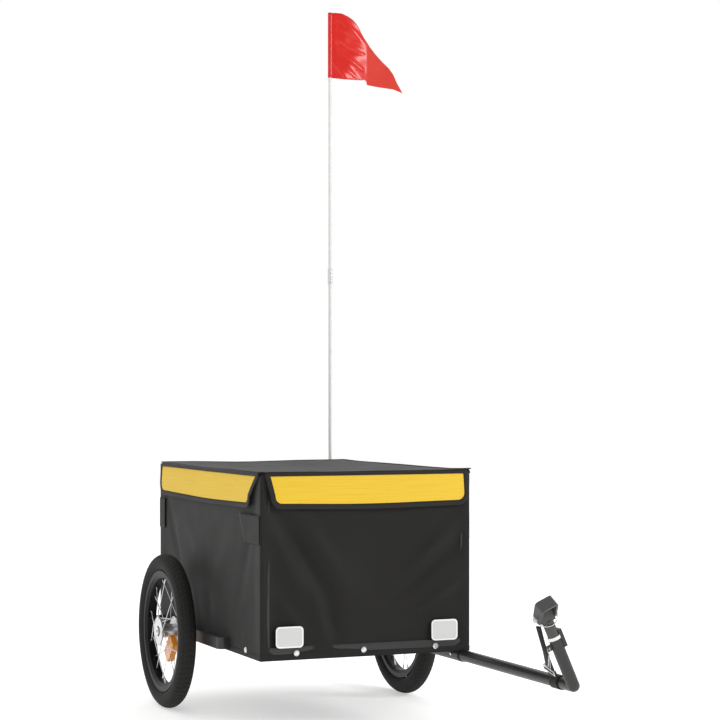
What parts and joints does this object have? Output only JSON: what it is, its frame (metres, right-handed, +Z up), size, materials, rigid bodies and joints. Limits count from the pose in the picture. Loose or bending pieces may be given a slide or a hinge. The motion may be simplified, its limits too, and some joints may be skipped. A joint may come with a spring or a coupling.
{
  "type": "bicycle cargo trailer",
  "caption": "Two-wheeled bicycle cargo trailer: tube frame, covered fabric box with lift-up flaps, quick-release spoked wheels, side drawbar with swivel hitch, flag pole.",
  "frame": {"origin": "on the ground under the middle of the overall box, flag and drawbar included; the middle plane of the trailer lies 48 mm to the -X side and the axle 426.2 mm to the +Y side of it", "axes": "+Z up; -Y the direction of travel, the way the drawbar points; +X to the trailer's own left, the drawbar's side"},
  "size_m": [0.828, 1.4328, 1.9049],
  "materials": {
    "black_steel": "satin black powder coat on steel tube and plate",
    "fork_steel": "dark grey satin powder coat on bent plate",
    "black_cloth": "coated black polyester canvas, fine plain weave",
    "yellow_cloth": "yellow polyester cloth with a dark grey sewn binding",
    "tab_cloth": "black hook-and-loop tape tab",
    "webbing": "black woven polyester webbing",
    "flag_film": "orange-red coated flag film, half glossy",
    "tyre_rubber": "matt black tread rubber",
    "tube_rubber": "butyl rubber",
    "rim_black": "gloss black anodised aluminium",
    "zinc": "bright zinc-plated steel",
    "hub_silver": "silver machined hub",
    "bearing_steel": "dark shielded ball bearing",
    "amber": "amber reflector with fine prisms",
    "clear_reflector": "white reflector with a pale rim",
    "red_reflector": "red reflector",
    "black_plastic": "moulded black polypropylene",
    "floor_plastic": "ribbed black floor board",
    "white_nylon": "white nylon washer",
    "pole_fibre": "light grey fibreglass pole",
    "valve_rubber": "black rubber valve"
  },
  "bodies": {
    "chassis": {"base_side_rails": "black_steel", "base_cross_rails": "black_steel", "floor_board": "floor_plastic", "corner_posts": "black_steel", "top_rails": "black_steel", "corner_connectors": "black_plastic", "tub_fabric": "black_cloth", "corner_tabs": "tab_cloth", "front_reflectors": "clear_reflector", "rear_reflectors": "red_reflector", "panel_screws": "zinc", "rear_flap": "yellow_cloth", "axle_brackets": "black_steel", "axle_receivers": "black_steel", "drawbar_sleeve": "black_steel", "drawbar": "black_steel", "swivel_ring": "white_nylon", "swivel_guard": "black_steel", "hitch_lug": "black_steel", "pole_holder": "black_plastic", "safety_strap": "webbing", "strap_buckle": "zinc"},
    "cover": {"cover_panel": "black_cloth"},
    "front_flap": {"front_flap": "yellow_cloth"},
    "left_flap": {"left_flap": "yellow_cloth"},
    "right_flap": {"right_flap": "yellow_cloth"},
    "lower_pole": {"lower_pole": "pole_fibre", "pole_ferrule": "zinc"},
    "upper_pole": {"upper_pole": "pole_fibre"},
    "flag": {"flag": "flag_film"},
    "coupler": {"coupler": "fork_steel", "hitch_pin": "zinc"},
    "fork": {"fork": "fork_steel"},
    "pin_bail": {"pin_bail": "zinc"},
    "spare_clip": {"spare_clip": "zinc"},
    "drawbar_pin": {"drawbar_pin": "zinc", "pull_ring": "zinc"},
    "left_axle": {"left_axle": "zinc"},
    "left_button": {"left_button": "hub_silver"},
    "left_wheel": {"left_tyre": "tyre_rubber", "left_inner_tube": "tube_rubber", "left_rim": "rim_black", "left_spokes": "zinc", "left_nipples": "zinc", "left_hub": "hub_silver", "left_bearings": "bearing_steel", "left_spoke_reflector": "amber", "left_valve": "valve_rubber"},
    "right_axle": {"right_axle": "zinc"},
    "right_button": {"right_button": "hub_silver"},
    "right_wheel": {"right_tyre": "tyre_rubber", "right_inner_tube": "tube_rubber", "right_rim": "rim_black", "right_spokes": "zinc", "right_nipples": "zinc", "right_hub": "hub_silver", "right_bearings": "bearing_steel", "right_spoke_reflector": "amber", "right_valve": "valve_rubber"}
  },
  "joints": [
    {"name": "left_axle_pull", "type": "slide", "parent": "chassis", "child": "left_axle", "axis": [1, 0, 0], "range_m": [0, 0.06]},
    {"name": "left_button_press", "type": "slide", "parent": "left_axle", "child": "left_button", "axis": [-1, 0, 0], "range_m": [0, 0.0025], "stiffness_N_per_m": 800, "springref_m": -0.002},
    {"name": "left_wheel_spin", "type": "hinge", "parent": "left_axle", "child": "left_wheel", "pos_m": [0.289, 0.4262, 0.2], "axis": [1, 0, 0], "continuous": true},
    {"name": "right_axle_pull", "type": "slide", "parent": "chassis", "child": "right_axle", "axis": [-1, 0, 0], "range_m": [0, 0.06]},
    {"name": "right_button_press", "type": "slide", "parent": "right_axle", "child": "right_button", "axis": [1, 0, 0], "range_m": [0, 0.0025], "stiffness_N_per_m": 800, "springref_m": -0.002},
    {"name": "right_wheel_spin", "type": "hinge", "parent": "right_axle", "child": "right_wheel", "pos_m": [-0.385, 0.4262, 0.2], "axis": [1, 0, 0], "continuous": true},
    {"name": "cover_lift", "type": "hinge", "parent": "chassis", "child": "cover", "pos_m": [-0.048, 0.6882, 0.628], "axis": [-1, 0, 0], "range_deg": [0, 88]},
    {"name": "front_flap_lift", "type": "hinge", "parent": "cover", "child": "front_flap", "pos_m": [-0.048, -0.1273, 0.628], "axis": [-1, 0, 0], "range_deg": [0, 105]},
    {"name": "left_flap_lift", "type": "hinge", "parent": "cover", "child": "left_flap", "pos_m": [0.2305, 0.3002, 0.628], "axis": [0, -1, 0], "range_deg": [0, 175]},
    {"name": "right_flap_lift", "type": "hinge", "parent": "cover", "child": "right_flap", "pos_m": [-0.3265, 0.3002, 0.628], "axis": [0, 1, 0], "range_deg": [0, 175]},
    {"name": "pole_lift", "type": "slide", "parent": "chassis", "child": "lower_pole", "axis": [0, 0, 1], "range_m": [0, 0.085]},
    {"name": "pole_part", "type": "slide", "parent": "lower_pole", "child": "upper_pole", "axis": [0, 0, 1], "range_m": [0, 0.03]},
    {"name": "flag_turn", "type": "hinge", "parent": "upper_pole", "child": "flag", "pos_m": [0.185, 0.7012, 1.8], "axis": [0, 0, 1], "continuous": true},
    {"name": "hitch_swivel", "type": "hinge", "parent": "chassis", "child": "coupler", "pos_m": [0.15812, -0.6818, 0.29026], "axis": [-0.4067, 0, 0.9135], "range_deg": [-75, 75]},
    {"name": "fork_pivot", "type": "hinge", "parent": "coupler", "child": "fork", "pos_m": [0.13982, -0.6818, 0.33137], "axis": [0.9135, 0, 0.4067], "range_deg": [-100, 8]},
    {"name": "bail_swing", "type": "hinge", "parent": "coupler", "child": "pin_bail", "pos_m": [0.13982, -0.6818, 0.33137], "axis": [-0.9135, 0, -0.4067], "range_deg": [0, 24]},
    {"name": "clip_swing", "type": "hinge", "parent": "chassis", "child": "spare_clip", "pos_m": [0.15079, -0.6818, 0.25634], "axis": [0, 1, 0], "range_deg": [-25, 25]},
    {"name": "drawbar_pin_pull", "type": "slide", "parent": "chassis", "child": "drawbar_pin", "axis": [1, 0, 0], "range_m": [0, 0.05]}
  ]
}
